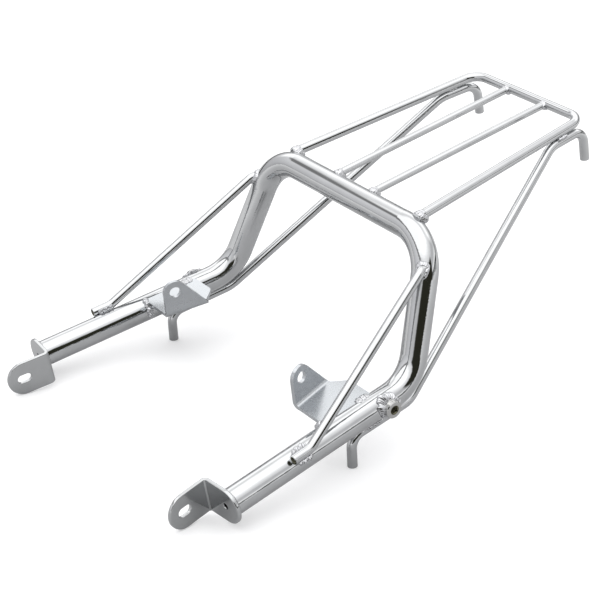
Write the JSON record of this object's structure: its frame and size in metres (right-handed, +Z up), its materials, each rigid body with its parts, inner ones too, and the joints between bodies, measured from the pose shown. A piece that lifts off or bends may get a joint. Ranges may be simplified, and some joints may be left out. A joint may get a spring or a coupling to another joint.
{
  "type": "motorcycle luggage rack",
  "caption": "Rear luggage rack: bent main tube hoop with slotted front brackets, inner bolt tabs, flat rail platform, side stays with cord hooks and side braces.",
  "frame": {"origin": "middle of the rack's length and width, level with the ends of the front cord hooks", "axes": "+X across to the rack's right side, +Y rearwards along the luggage rails, +Z up; the arms and the luggage platform are level"},
  "size_m": [0.3836, 0.5946, 0.1905],
  "materials": {
    "chrome_tube": "bright chrome plating on round tube and rod",
    "chrome_plate": "chrome plating on unpolished sheet, slightly cloudy",
    "chrome_weld": "chrome plating over uneven weld beads",
    "boss_steel": "thinly plated turned steel, olive tint in the thread"
  },
  "bodies": {
    "root": {"boss_weld_left": "chrome_weld", "boss_weld_right": "chrome_weld", "brace_left": "chrome_tube", "brace_right": "chrome_tube", "brace_welds_left": "chrome_weld", "brace_welds_right": "chrome_weld", "front_bracket_left": "chrome_plate", "front_bracket_right": "chrome_plate", "front_bracket_weld_left": "chrome_weld", "front_bracket_weld_right": "chrome_weld", "inner_bracket_left": "chrome_plate", "inner_bracket_right": "chrome_plate", "inner_bracket_weld_left": "chrome_weld", "inner_bracket_weld_right": "chrome_weld", "inner_rail_left": "chrome_tube", "inner_rail_right": "chrome_tube", "main_hoop": "chrome_tube", "rack_rail": "chrome_tube", "rail_front_welds": "chrome_weld", "rail_rear_welds": "chrome_weld", "stay_left": "chrome_tube", "stay_right": "chrome_tube", "stay_welds_left": "chrome_weld", "stay_welds_right": "chrome_weld", "threaded_boss_left": "boss_steel", "threaded_boss_right": "boss_steel"}
  },
  "joints": []
}
